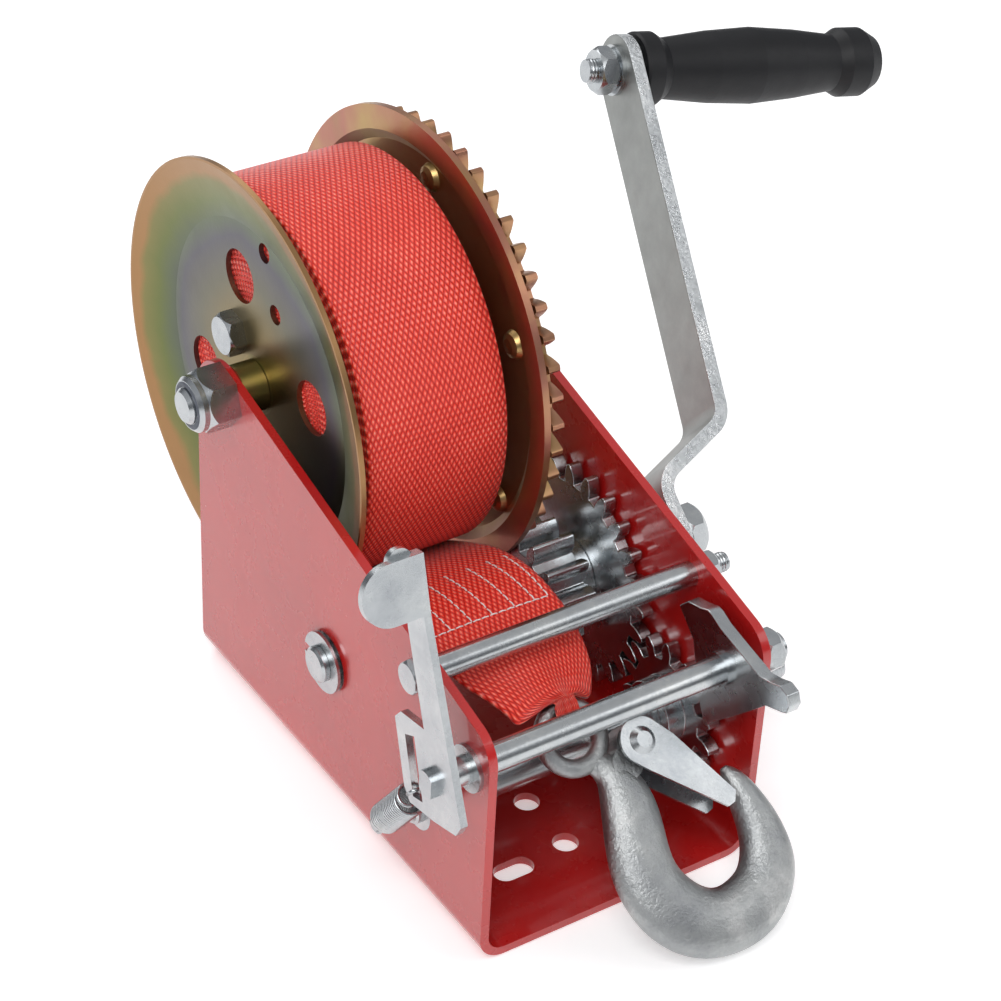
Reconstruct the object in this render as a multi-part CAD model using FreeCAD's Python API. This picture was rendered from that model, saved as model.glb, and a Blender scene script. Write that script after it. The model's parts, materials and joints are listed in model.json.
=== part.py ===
import FreeCAD, Part
import math
import os

V = FreeCAD.Vector

# Millimetres. +X runs along the shafts towards the crank, -Y is the hook's side, +Z is up.
# The origin is the middle of the base's underside. Angles about a shaft go from +Y to +Z.

# Driving dimensions
FRAME_WIDTH = 102.0
FRAME_DEPTH = 176.0
SHEET = 3.0
BEND_RADIUS = 7.5
FRONT_HEIGHT = 84.6
REAR_HEIGHT = 128.9
MODULE = 3.0
PRESSURE_ANGLE = 20.0
FLANK_CLEARANCE = 0.22
MESH_SLACK = 0.2
RING_TEETH = 48
DRIVE_TEETH = 12
LARGE_TEETH = 24
LOW_TEETH = 14
STRAP_WIDTH = 50.0
STRAP_LEFT = -37.9
STRAP_RADIUS = 66.7
LEFT_FLANGE_RADIUS = 75.4
RIGHT_FLANGE_RADIUS = 77.6
CRANK_ANGLE = 40.0
CRANK_LEAN = 11.8

# Shaft centres, as (y, z)
DRIVE = (4.0, 53.5)
TO_DRUM = 44.1
TO_LOW = 199.5
DRUM_DISTANCE = MODULE * (RING_TEETH + DRIVE_TEETH) / 2 + MESH_SLACK
LOW_DISTANCE = MODULE * (LARGE_TEETH + LOW_TEETH) / 2 + MESH_SLACK
DRUM = (DRIVE[0] + DRUM_DISTANCE * math.cos(math.radians(TO_DRUM)),
        DRIVE[1] + DRUM_DISTANCE * math.sin(math.radians(TO_DRUM)))
LOW = (DRIVE[0] + LOW_DISTANCE * math.cos(math.radians(TO_LOW)),
       DRIVE[1] + LOW_DISTANCE * math.sin(math.radians(TO_LOW)))
TIE = (-49.4, 85.7)
PAWL = (-77.9, 71.0)
SPRING_ANCHOR = (-41.5, 24.1)
SPRING_HOOK = (-69.2, 61.2)

# Hook plane: spanned by +X and the direction that falls forwards and down from the strap
EYE_BAR = (-61.3, 63.3)
EYE_X = -8.0
HOOK_FALL = (-0.7316, -0.6818)
EYE_RADIUS = 9.6
EYE_WIRE = 2.9
LATCH_PIVOT = (10.3, 18.3)

INNER = FRAME_WIDTH / 2 - SHEET
OUTER = FRAME_WIDTH / 2

# Ring gear and its flange
RING_X = (23.2, 27.4)
DRIVE_PINION_X = (21.6, 37.5)
LARGE_X = (42.5, 47.0)
RIVET_CIRCLE = 61.0
RIVET_ANGLES = [34 + 60 * i for i in range(6)]
ANCHOR_BOLT = (18.4, 42.0)


def polar(x, centre, radius, angle):
    """A point at x, this far from a centre line, at an angle in degrees."""
    a = math.radians(angle)
    return V(x, centre[0] + radius * math.cos(a), centre[1] + radius * math.sin(a))


def rod(x0, x1, centre, radius):
    return Part.makeCylinder(radius, x1 - x0, V(x0, centre[0], centre[1]), V(1, 0, 0))


def tube(x0, x1, centre, outer, inner):
    return rod(x0, x1, centre, outer).cut(rod(x0, x1, centre, inner))


def turned(centre, outline):
    """A solid turned about a shaft's centre line, from (x, radius) points."""
    points = [V(x, centre[0] + r, centre[1]) for x, r in outline]
    face = Part.Face(Part.makePolygon(points + points[:1]))
    return face.revolve(V(0, centre[0], centre[1]), V(1, 0, 0), 360)


def side_plate(x0, x1, outline):
    """A flat piece seen from the side, from (y, z) points, between x0 and x1."""
    points = [V(x0, y, z) for y, z in outline]
    return Part.Face(Part.makePolygon(points + points[:1])).extrude(V(x1 - x0, 0, 0))


def hexagon(x0, x1, centre, flats, turn=0.0, chamfer=(True, True)):
    """A hexagonal prism with turned chamfers on the ends that are asked for."""
    corner = flats / math.sqrt(3)
    points = [polar(x0, centre, corner, turn + 60 * i) for i in range(6)]
    prism = Part.Face(Part.makePolygon(points + points[:1])).extrude(V(x1 - x0, 0, 0))
    cut = 0.12 * flats
    start = flats / 2 * 0.97 if chamfer[0] else corner + 1
    end = flats / 2 * 0.97 if chamfer[1] else corner + 1
    limits = turned(centre, [(x0, 0), (x0, start), (x0 + cut, corner + 0.05), (x1 - cut, corner + 0.05),
                             (x1, end), (x1, 0)])
    return prism.common(limits)


def round_vertical(solid, radius, centres):
    """Rounds the edges along X whose middles lie at the given (y, z) points."""
    chosen = []
    for edge in solid.Edges:
        ends = [v.Point for v in edge.Vertexes]
        if len(ends) != 2 or abs(ends[0].x - ends[1].x) < 0.5:
            continue
        for y, z in centres:
            if abs(ends[0].y - y) < 0.1 and abs(ends[0].z - z) < 0.1 and abs(ends[1].y - y) < 0.1:
                chosen.append(edge)
    return solid.makeFillet(radius, chosen)


def bent_strip(corners, thickness, radius, place):
    """The edge-on face of a strip bent at each inner corner; place maps (u, v) to a point."""
    sides = ([], [])
    ends = ([], [])
    count = len(corners)
    for side, sign in ((0, 1), (1, -1)):
        last = None
        for i in range(count):
            here = corners[i]
            before = corners[i - 1] if i else None
            after = corners[i + 1] if i + 1 < count else None
            ways = []
            for a, b in ((before, here), (here, after)):
                if a is None or b is None:
                    continue
                length = math.hypot(b[0] - a[0], b[1] - a[1])
                ways.append(((b[0] - a[0]) / length, (b[1] - a[1]) / length))
            offset = sign * thickness / 2
            if len(ways) == 1:
                way = ways[0]
                point = (here[0] - way[1] * offset, here[1] + way[0] * offset)
                if last is not None:
                    sides[side].append(Part.makeLine(place(*last), place(*point)))
                ends[side].append(point)
                last = point
                continue
            (ax, ay), (bx, by) = ways
            turn = math.atan2(ax * by - ay * bx, ax * bx + ay * by)
            back = radius * math.tan(abs(turn) / 2)
            left = 1 if turn > 0 else -1
            centre = (here[0] - ax * back - ay * radius * left, here[1] - ay * back + ax * radius * left)
            arc = []
            for part in (0, 0.5, 1):
                angle = turn * part
                nx = ay * left * math.cos(angle) + ax * left * math.sin(angle)
                ny = -ax * left * math.cos(angle) + ay * left * math.sin(angle)
                reach = radius - left * offset
                arc.append((centre[0] + nx * reach, centre[1] + ny * reach))
            sides[side].append(Part.makeLine(place(*last), place(*arc[0])))
            sides[side].append(Part.Arc(*[place(*p) for p in arc]).toShape())
            last = arc[2]
    caps = [Part.makeLine(place(*ends[0][i]), place(*ends[1][i])) for i in (0, 1)]
    wire = Part.Wire(Part.__sortEdges__(sides[0] + sides[1] + caps))
    return Part.Face(wire)


def gear(x0, x1, centre, teeth, tooth_angle, bore):
    """A spur gear with one tooth's middle at tooth_angle."""
    pitch = MODULE * teeth / 2
    base = pitch * math.cos(math.radians(PRESSURE_ANGLE))
    tip = pitch + MODULE
    root = pitch - 1.25 * MODULE
    involute = math.tan(math.radians(PRESSURE_ANGLE)) - math.radians(PRESSURE_ANGLE)
    middle = math.pi / (2 * teeth) - FLANK_CLEARANCE / pitch + involute

    def half_angle(radius):
        if radius <= base:
            return math.degrees(middle)
        pressure = math.acos(base / radius)
        return math.degrees(middle - (math.tan(pressure) - pressure))

    start = max(root + 0.5, base)
    radii = [start + (tip - 0.35 - start) * i / 4 for i in range(5)]
    flank = [(root, half_angle(start) * 1.12)]
    if start > root + 0.6:
        flank.append((root + 0.7, half_angle(start) * 0.96))
    flank += [(r, half_angle(r)) for r in radii]
    flank.append((tip, half_angle(tip) - math.degrees(0.3 / tip)))
    points = []
    for i in range(teeth):
        middle_angle = tooth_angle + 360.0 * i / teeth
        points += [polar(x0, centre, r, middle_angle - a) for r, a in flank]
        points += [polar(x0, centre, r, middle_angle + a) for r, a in reversed(flank)]
    disc = Part.Face(Part.makePolygon(points + points[:1])).extrude(V(x1 - x0, 0, 0))
    return disc.cut(rod(x0, x1, centre, bore))


def hook_point(x, s, h=0.0):
    """A point in the hook's plane: s down from the eye's bar, h out of the plane, upwards."""
    y = EYE_BAR[0] + HOOK_FALL[0] * s + HOOK_FALL[1] * h
    z = EYE_BAR[1] + HOOK_FALL[1] * s - HOOK_FALL[0] * h
    return V(x, y, z)


HOOK_UP = V(0, HOOK_FALL[1], -HOOK_FALL[0])


def crank_point(x, radius, across=0.0):
    """A point in the crank's plane, which turns with the drive shaft."""
    a = math.radians(CRANK_ANGLE)
    return V(x, DRIVE[0] + radius * math.cos(a) - across * math.sin(a),
             DRIVE[1] + radius * math.sin(a) + across * math.cos(a))


def ellipse_wire(centre, along, across, half_width, half_thickness):
    """An ellipse of sixteen points round a centre, in the plane of two unit vectors."""
    points = []
    for i in range(16):
        a = 2 * math.pi * i / 16
        points.append(centre + along * (half_width * math.cos(a)) + across * (half_thickness * math.sin(a)))
    curve = Part.BSplineCurve()
    curve.interpolate(points, PeriodicFlag=True)
    return Part.Wire(curve.toShape())


# Frame

def frame_plate():
    top = REAR_HEIGHT + 10
    middle = OUTER - SHEET / 2
    corners = [(-middle, top), (-middle, SHEET / 2), (middle, SHEET / 2), (middle, top)]
    face = bent_strip(corners, SHEET, BEND_RADIUS, lambda u, v: V(u, -FRAME_DEPTH / 2, v))
    sheet = face.extrude(V(0, FRAME_DEPTH, 0))
    half = FRAME_DEPTH / 2
    outline = side_plate(-OUTER - 1, OUTER + 1, [(-half, 0), (half, 0), (half, REAR_HEIGHT), (-half, FRONT_HEIGHT)])
    outline = round_vertical(outline, 15.5, [(half, REAR_HEIGHT)])
    outline = round_vertical(outline, 11.0, [(-half, FRONT_HEIGHT)])
    body = sheet.common(outline)
    wide = OUTER + 1
    for centre, radius in ((DRUM, 6.1), (DRIVE, 10.0), (LOW, 8.0), (TIE, 3.2), (PAWL, 6.5)):
        body = body.cut(rod(-wide, wide, centre, radius))
    body = body.cut(rod(-wide, 0, SPRING_ANCHOR, 1.95))
    for y in (-36.7, -59.0):
        body = body.cut(Part.makeCylinder(4.25, 2 * SHEET, V(0, y, -1)))
    for x in (-21, 21):
        for y in (-61, 61):
            body = body.cut(slot(x, y, 14.0, 8.0))
    return body


def slot(x, y, length, width):
    """A slot along X through the base."""
    reach = (length - width) / 2
    block = Part.makeBox(2 * reach, width, 2 * SHEET, V(x - reach, y - width / 2, -1))
    for end in (-reach, reach):
        block = block.fuse(Part.makeCylinder(width / 2, 2 * SHEET, V(x + end, y, -1)))
    return block.removeSplitter()


def drum_axle_bolt():
    shank = rod(-65.2, OUTER, DRUM, 6.0)
    head = hexagon(OUTER, OUTER + 7.5, DRUM, 18.0, chamfer=(False, True))
    end = turned(DRUM, [(-66.5, 0), (-66.5, 5.0), (-65.2, 6.0), (-65.2, 0)])
    return shank.fuse(head).fuse(end).removeSplitter()


def drum_axle_nut():
    body = hexagon(-61.5, -OUTER, DRUM, 19.0, turn=12, chamfer=(True, False))
    collar = turned(DRUM, [(-61.5, 0), (-64.5, 0), (-64.5, 8.2), (-63.2, 9.3), (-61.5, 9.4)])
    return body.fuse(collar).cut(rod(-70, -50, DRUM, 6.0))


def axle_spacers():
    left = tube(-INNER, -39.8, DRUM, 8.5, 6.05)
    right = tube(28.1, INNER, DRUM, 8.5, 6.05)
    return left, right


def flanged_bush(x_sign, centre, barrel, bore, flange, inside):
    """A bush in a side plate, with its flange on the inside or the outside."""
    low, high = sorted((x_sign * INNER, x_sign * OUTER))
    body = tube(low, high, centre, barrel, bore)
    edge = INNER - 1.5 if inside else OUTER
    low, high = sorted((x_sign * edge, x_sign * (edge + 1.5)))
    return body.fuse(tube(low, high, centre, flange, bore)).removeSplitter()


def tie_parts():
    sleeve = tube(-INNER, INNER, TIE, 4.0, 3.1)
    bolt = rod(-OUTER, 61.0, TIE, 3.0).fuse(hexagon(-OUTER - 4.5, -OUTER, TIE, 10.0, 10, (True, False)))
    nut = hexagon(OUTER, OUTER + 5.2, TIE, 10.0, 20).cut(rod(50, 60, TIE, 3.0))
    return sleeve, bolt.removeSplitter(), nut


def spring_anchor_pin():
    shank = rod(-60.9, -INNER + 1.5, SPRING_ANCHOR, 1.9)
    clinch = rod(-INNER, -INNER + 1.5, SPRING_ANCHOR, 3.6)
    return shank.fuse(clinch).removeSplitter()


# Drum

def left_flange():
    rim, disc, thick = -46.0, -39.6, 1.7
    profile = [(disc, 10.0), (disc, 55.0), (rim, LEFT_FLANGE_RADIUS - 0.8), (rim, LEFT_FLANGE_RADIUS),
               (rim + thick, LEFT_FLANGE_RADIUS), (disc + thick, 55.6), (disc + thick, 10.0)]
    body = turned(DRUM, profile)
    for i in range(4):
        spot = polar(-50, DRUM, 36.0, -17.6 + 90 * i)
        body = body.cut(rod(-50, -30, (spot.y, spot.z), 9.0))
    for radius, angle in ((51.0, 95.5), (34.3, 110.0)):
        spot = polar(-50, DRUM, radius, angle)
        body = body.cut(rod(-50, -30, (spot.y, spot.z), 3.3))
    spot = polar(-50, DRUM, *ANCHOR_BOLT)
    return body.cut(rod(-50, -30, (spot.y, spot.z), 4.0))


def right_flange():
    rim, disc, thick = 18.3, 20.8, 2.4
    profile = [(disc, 10.0), (disc, 66.0), (rim, 69.5), (rim, RIGHT_FLANGE_RADIUS),
               (rim + thick, RIGHT_FLANGE_RADIUS), (rim + thick, 69.9), (disc + thick, 66.4), (disc + thick, 10.0)]
    body = turned(DRUM, profile)
    for angle in RIVET_ANGLES:
        spot = polar(0, DRUM, RIVET_CIRCLE, angle)
        body = body.cut(rod(10, 30, (spot.y, spot.z), 3.0))
    spot = polar(0, DRUM, *ANCHOR_BOLT)
    return body.cut(rod(10, 30, (spot.y, spot.z), 4.0))


def drum_core():
    return tube(-39.6, RING_X[1], DRUM, 10.0, 6.05)


def ring_gear():
    body = gear(*RING_X, DRUM, RING_TEETH, TO_DRUM + 180 + 180.0 / RING_TEETH, 10.0)
    for angle in RIVET_ANGLES:
        spot = polar(0, DRUM, RIVET_CIRCLE, angle)
        body = body.cut(rod(10, 30, (spot.y, spot.z), 3.0))
    spot = polar(0, DRUM, *ANCHOR_BOLT)
    return body.cut(rod(10, 30, (spot.y, spot.z), 4.0))


def ring_gear_rivets():
    rivets = []
    for angle in RIVET_ANGLES:
        spot = polar(0, DRUM, RIVET_CIRCLE, angle)
        outline = [(18.0, 0), (18.3, 2.4), (19.2, 4.0), (20.8, 4.9), (20.8, 3.0), (27.4, 3.0), (27.4, 4.6),
                   (28.3, 3.8), (28.8, 0)]
        rivets.append(turned((spot.y, spot.z), outline))
    return Part.makeCompound(rivets)


def strap_anchor():
    spot = polar(0, DRUM, *ANCHOR_BOLT)
    centre = (spot.y, spot.z)
    bolt = rod(-39.6, 33.0, centre, 4.0).fuse(hexagon(-45.1, -39.6, centre, 13.0, 5, (True, False)))
    nut = hexagon(27.4, 33.0, centre, 13.0, 25).cut(rod(20, 40, centre, 4.0))
    return bolt.removeSplitter(), nut


def strap_roll():
    return tube(STRAP_LEFT, STRAP_LEFT + STRAP_WIDTH, DRUM, STRAP_RADIUS, 25.0)


# Drive shaft and crank

def drive_shaft():
    body = turned(DRIVE, [(-56, 0), (-56, 5.2), (-55.2, 6.0), (-46.3, 6.0), (-46.3, 8.0), (77.4, 8.0),
                          (77.4, 6.0), (83, 6.0), (83, 5.0), (92.7, 5.0), (93.5, 4.2), (93.5, 0)])
    groove = tube(-53.4, -52.2, DRIVE, 7.0, 5.3)
    return body.cut(groove)


def drive_pinion():
    teeth = gear(*DRIVE_PINION_X, DRIVE, DRIVE_TEETH, TO_DRUM, 8.0)
    hub = tube(DRIVE_PINION_X[1], LARGE_X[0], DRIVE, 13.0, 8.0)
    return teeth.fuse(hub)


def large_gear():
    return gear(*LARGE_X, DRIVE, LARGE_TEETH, TO_LOW, 8.0)


def snap_ring(centre, bore):
    ring = tube(-53.3, -52.3, centre, bore + 4.3, bore - 0.6)
    gap = side_plate(-54, -52, [(centre[0] + 2, centre[1] - 1.6), (centre[0] + 20, centre[1] - 1.6),
                                (centre[0] + 20, centre[1] + 1.6), (centre[0] + 2, centre[1] + 1.6)])
    return ring.cut(gap)


CRANK_BEND = (112.5, 30.2)
GRIP_RADIUS = 161.6
GRIP_X = CRANK_BEND[0] + (GRIP_RADIUS - CRANK_BEND[1]) * math.tan(math.radians(CRANK_LEAN))
LEAN = (math.sin(math.radians(CRANK_LEAN)), math.cos(math.radians(CRANK_LEAN)))
GRIP_AXIS = crank_point(LEAN[1], -LEAN[0]) - crank_point(0, 0)


def on_grip(t):
    """A point on the grip's axis, t outwards from the middle of the crank bar."""
    return crank_point(GRIP_X, GRIP_RADIUS) + GRIP_AXIS * t


def along_grip(t0, t1, radius):
    return Part.makeCylinder(radius, t1 - t0, on_grip(t0), GRIP_AXIS)


def crank_arm():
    half = 12.5
    tip = (GRIP_X + half * LEAN[0], GRIP_RADIUS + half * LEAN[1])
    corners = [(80.5, -half), (80.5, 17.3), CRANK_BEND, tip]
    face = bent_strip(corners, 5.0, 10.0, lambda u, v: crank_point(u, v, -half))
    across = crank_point(0, 0, 2 * half) - crank_point(0, 0)
    bar = face.extrude(across)
    hub_end = rod(70, 130, DRIVE, half)
    hub_side = Part.makeBox(80, 80, 300, V(70, -40, 0))
    hub_side.rotate(V(0, 0, 0), V(1, 0, 0), CRANK_ANGLE - 90)
    hub_side.translate(V(0, DRIVE[0], DRIVE[1]))
    tip_end = along_grip(-40, 40, half)
    tip_block = Part.makeBox(200, 80, 200, V(-60, -40, -200))
    tip_block.rotate(V(0, 0, 0), V(0, 1, 0), CRANK_LEAN)
    tip_block.rotate(V(0, 0, 0), V(1, 0, 0), CRANK_ANGLE - 90)
    tip_block.translate(crank_point(GRIP_X, GRIP_RADIUS))
    bar = bar.common(hub_end.fuse(hub_side)).common(tip_end.fuse(tip_block))
    bar = bar.cut(rod(74, 86, DRIVE, 6.0)).cut(along_grip(-10, 10, 4.0))
    return bar


def crank_nut():
    return hexagon(84.4, 91.9, DRIVE, 17.0, 15).cut(rod(75, 94, DRIVE, 5.0))


def crank_washer():
    return tube(83.0, 84.4, DRIVE, 10.5, 5.0)


def grip_frame(shape):
    """Moves a piece made along +X at the origin onto the grip's axis."""
    turn = FreeCAD.Rotation(V(1, 0, 0), GRIP_AXIS)
    shape.Placement = FreeCAD.Placement(on_grip(0), turn)
    return shape


def grip_bolt():
    shank = rod(-14.5, 95.2, (0, 0), 4.0)
    head = hexagon(95.2, 100.2, (0, 0), 13.0)
    return grip_frame(shank.fuse(head).removeSplitter())


def grip_nut():
    return grip_frame(hexagon(-10.9, -4.1, (0, 0), 15.0, 8).cut(rod(-20, 0, (0, 0), 4.0)))


def grip_washers():
    inner = tube(-4.1, -2.5, (0, 0), 9.0, 4.0)
    outer = tube(2.5, 4.0, (0, 0), 9.0, 4.0)
    return grip_frame(Part.makeCompound([inner, outer]))


def grip():
    outline = [(4.2, 4.06), (4.2, 12.6), (5.0, 13.3), (11.0, 13.3), (15.0, 10.8), (34.0, 12.9), (52.0, 13.8),
               (70.0, 12.4), (85.4, 10.4), (89.4, 12.6), (97.6, 12.6), (103.2, 9.5), (103.2, 8.2),
               (95.1, 8.2), (95.1, 4.06)]
    return grip_frame(turned((0, 0), outline))


# Low-speed shaft

def low_speed_shaft():
    body = turned(LOW, [(-53.9, 0), (-53.9, 4.6), (-53.2, 5.2), (-46.3, 5.2), (-46.3, 6.5), (47.8, 6.5),
                        (47.8, 6.0), (54.0, 6.0), (54.0, 5.0), (87.2, 5.0), (88.0, 4.2), (88.0, 0)])
    return body


def low_speed_pinion():
    teeth = gear(*LARGE_X, LOW, LOW_TEETH, TO_LOW - 180 + 180.0 / LOW_TEETH, 6.5)
    hub = tube(36.0, LARGE_X[0], LOW, 11.0, 6.5)
    return teeth.fuse(hub)


# Pawl, lever and spring

def pawl_shaft():
    body = rod(-66.4, 62.4, PAWL, 4.5)
    for side in (-1, 1):
        flat = Part.makeBox(4.8, 10, 20, V(-66.4, PAWL[0] + side * 8.2 - 5, PAWL[1] - 10))
        body = body.cut(flat)
    return body


def pawl():
    outline = [(-54.8, 79.7), (-58.6, 83.9), (-64.9, 85.6), (-68.5, 87.1), (-70.9, 86.8), (-75.2, 84.9),
               (-96.0, 80.3), (-100.7, 81.5), (-105.3, 83.3), (-109.1, 82.3), (-110.5, 78.8), (-109.5, 75.6),
               (-107.2, 74.5), (-99.8, 71.8), (-93.4, 65.1), (-84.6, 56.2), (-79.5, 51.3), (-76.9, 49.3),
               (-73.6, 44.6), (-72.1, 45.6), (-69.7, 50.2), (-66.0, 62.0), (-63.0, 72.0)]
    plate = side_plate(40.2, 44.8, outline)
    return plate.cut(rod(30, 50, PAWL, 4.5))


def pawl_collar():
    return tube(38.6, 40.2, PAWL, 5.6, 4.5)


def pawl_nut():
    return hexagon(54.2, 60.4, PAWL, 13.0, 10).cut(rod(50, 65, PAWL, 4.5))


def selector_lever():
    outline = [(-56.9, 80.7), (-60.0, 84.6), (-72.6, 87.0), (-62.4, 117.6), (-60.6, 128.0), (-62.0, 144.0),
               (-65.6, 144.9), (-70.6, 126.5), (-93.8, 65.4), (-91.4, 60.7), (-79.6, 57.1), (-66.5, 54.5),
               (-63.1, 58.3)]
    plate = side_plate(-64.0, -61.6, outline)
    window = side_plate(-70, -55, [(-62.6, 78.0), (-67.6, 80.6), (-73.3, 59.6), (-68.0, 58.0)])
    keyhole = pawl_shaft()
    plate = plate.cut(window).cut(keyhole)
    tab_front = V(0, -65.6 + 70.6, 144.9 - 126.5)
    rise = math.hypot(tab_front.y, tab_front.z)
    up = tab_front * (1 / rise)
    low = V(-64.0, -70.6, 126.5)
    tab = Part.makeBox(9.0, 2.4, rise, V(-9.0, 0, 0))
    tab = tab.fuse(Part.makeCylinder(rise / 2, 2.4, V(-9.0, 0, rise / 2), V(0, 1, 0)))
    tab = tab.fuse(Part.makeCylinder(4.0, 2.2, V(-4.0, 2.4, rise - 1.6), V(0, 1, 0)))
    tab.rotate(V(0, 0, 0), V(1, 0, 0), -math.degrees(math.atan2(up.y, up.z)))
    tab.translate(low)
    return plate.fuse(tab)


def lever_spring():
    """The coil runs between the anchor and the lever; a plain tube stands for its close turns."""
    x = -59.6
    low = V(x, *SPRING_ANCHOR)
    high = V(x, *SPRING_HOOK)
    way = (high - low).normalize()
    body = Part.makeCylinder(5.3, 24.5, low + way * 7.5, way)
    body = body.cut(Part.makeCylinder(3.9, 40.0, low, way))
    ring = Part.makeTorus(2.6, 0.65, low, V(1, 0, 0))
    lower = Part.makeCylinder(0.65, 6.0, low + way * 2.6, way)
    bar = Part.makeCylinder(0.65, 4.3, low + way * 8.4, V(0, -way.z, way.y))
    upper = Part.makeCylinder(0.65, (high - low).Length - 31.0, low + way * 31.0, way)
    cap = Part.makeCylinder(0.65, 4.3, low + way * 31.4, V(0, -way.z, way.y))
    eye = Part.makeCylinder(0.65, 7.4, high + V(0.5, 0, 0), V(-1, 0, 0))
    body = body.fuse(ring).fuse(lower).fuse(bar).fuse(upper).fuse(cap).fuse(eye)
    return body


# Strap tail

LOOP_INNER = 4.4
LOOP_THICK = 2.6
LOOP_HALF = 3.4


def strap_tail():
    """The webbing from the roll over the drive shaft to the hook's eye, and back under itself."""
    middle = STRAP_LEFT + STRAP_WIDTH / 2
    along = 22.0
    reach = LOOP_INNER + LOOP_THICK / 2
    top = polar(0, EYE_BAR, reach, along + 90)
    below = polar(0, EYE_BAR, reach, along - 90)
    roll_gap = STRAP_RADIUS + 0.35 + 1.1
    leave = [polar(0, DRUM, roll_gap, a) for a in (262, 252, 243)]
    # y, z, half width, centre x, half thickness
    upper = [(leave[0].y, leave[0].z, 25.0, middle, 1.1),
             (leave[1].y, leave[1].z, 25.0, middle, 1.1),
             (leave[2].y, leave[2].z, 25.0, middle, 1.1),
             (21.0, 65.0, 25.0, middle, 1.1),
             (4.0, 73.5, 25.0, middle, 1.1),
             (-15.0, 78.0, 25.0, middle, 1.1),
             (-33.0, 76.0, 24.0, middle + 0.5, 1.1),
             (-45.0, 73.4, 21.0, middle + 1.5, 1.1),
             (-53.0, 71.6, 17.5, middle + 3.1, 1.2),
             (top.y + 4.6, top.z + 2.0, 11.0, EYE_X - 0.4, 1.3),
             (top.y, top.z, LOOP_HALF, EYE_X, LOOP_THICK / 2)]
    lower = [(below.y, below.z, LOOP_HALF, EYE_X, LOOP_THICK / 2),
             (below.y + 8, below.z + 4.6, 8.5, EYE_X, 1.3),
             (-42.5, 68.4, 17.0, middle + 2, 1.2),
             (-32.0, 72.8, 22.5, middle + 0.5, 1.1),
             (-17.0, 75.0, 25.0, middle, 1.1)]
    parts = [strap_run(upper), strap_run(lower)]
    corner = polar(0, EYE_BAR, LOOP_INNER, along + 90)
    edge = polar(0, EYE_BAR, LOOP_INNER + LOOP_THICK, along + 90)
    points = [V(EYE_X - LOOP_HALF, corner.y, corner.z), V(EYE_X + LOOP_HALF, corner.y, corner.z),
              V(EYE_X + LOOP_HALF, edge.y, edge.z), V(EYE_X - LOOP_HALF, edge.y, edge.z)]
    face = Part.Face(Part.makePolygon(points + points[:1]))
    loop = face.revolve(V(0, *EYE_BAR), V(1, 0, 0), 180)
    return loop.fuse(parts[0]).fuse(parts[1])


def strap_run(stations):
    """Flat webbing through stations, one straight-sided stretch after another."""
    wires = []
    for i, (y, z, half, x, thin) in enumerate(stations):
        y0, z0 = stations[max(i - 1, 0)][:2]
        y1, z1 = stations[min(i + 1, len(stations) - 1)][:2]
        length = math.hypot(y1 - y0, z1 - z0)
        if half == LOOP_HALF:
            up = V(0, y - EYE_BAR[0], z - EYE_BAR[1]).normalize() * thin
        else:
            up = V(0, -(z1 - z0) / length, (y1 - y0) / length) * thin
        if up.z < 0 and half != LOOP_HALF:
            up = up * -1
        if half == LOOP_HALF and i == 0:
            up = up * -1
        centre = V(x, y, z)
        side = V(half, 0, 0)
        points = [centre - side - up, centre + side - up, centre + side + up, centre - side + up]
        wires.append(Part.makePolygon(points + points[:1]))
    return Part.makeLoft(wires, True, True)


# Hook and latch

def hook():
    eye = Part.makeTorus(EYE_RADIUS, EYE_WIRE, hook_point(EYE_X, EYE_RADIUS), HOOK_UP)
    # x, distance below the eye's bar, half width, half thickness
    sections = [(-3.8, 19.1, 4.0, 2.9), (0.5, 25.6, 6.5, 4.3), (1.5, 33.6, 8.8, 5.6), (0.4, 41.6, 9.8, 6.2),
                (-1.8, 54.6, 10.5, 6.6), (1.0, 66.6, 11.2, 6.7), (9.5, 75.8, 11.0, 6.5), (21.0, 78.6, 10.4, 6.4),
                (33.0, 74.8, 10.0, 6.5), (39.5, 67.1, 9.2, 6.4), (41.4, 57.9, 7.6, 6.0), (40.6, 47.2, 5.6, 5.2),
                (38.9, 39.8, 3.7, 3.8), (37.4, 35.6, 1.3, 1.4)]
    wires = []
    for i, (x, s, wide, thick) in enumerate(sections):
        x0, s0 = sections[max(i - 1, 0)][:2]
        x1, s1 = sections[min(i + 1, len(sections) - 1)][:2]
        along = hook_point(x1, s1) - hook_point(x0, s0)
        across = along.cross(HOOK_UP).normalize()
        wires.append(ellipse_wire(hook_point(x, s), across, HOOK_UP, wide, thick))
    body = Part.makeLoft(wires, True, False)
    lug = Part.makeCylinder(6.6, 8.0, hook_point(*LATCH_PIVOT, -4.0), HOOK_UP)
    bridge = Part.makeCylinder(5.2, 8.0, hook_point(5.0, 23.0, -4.0), HOOK_UP)
    body = body.fuse(lug).fuse(bridge).fuse(eye)
    return body.cut(Part.makeCylinder(2.55, 20.0, hook_point(*LATCH_PIVOT, -10.0), HOOK_UP))


LATCH_TIP = (32.4, 44.6)


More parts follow.
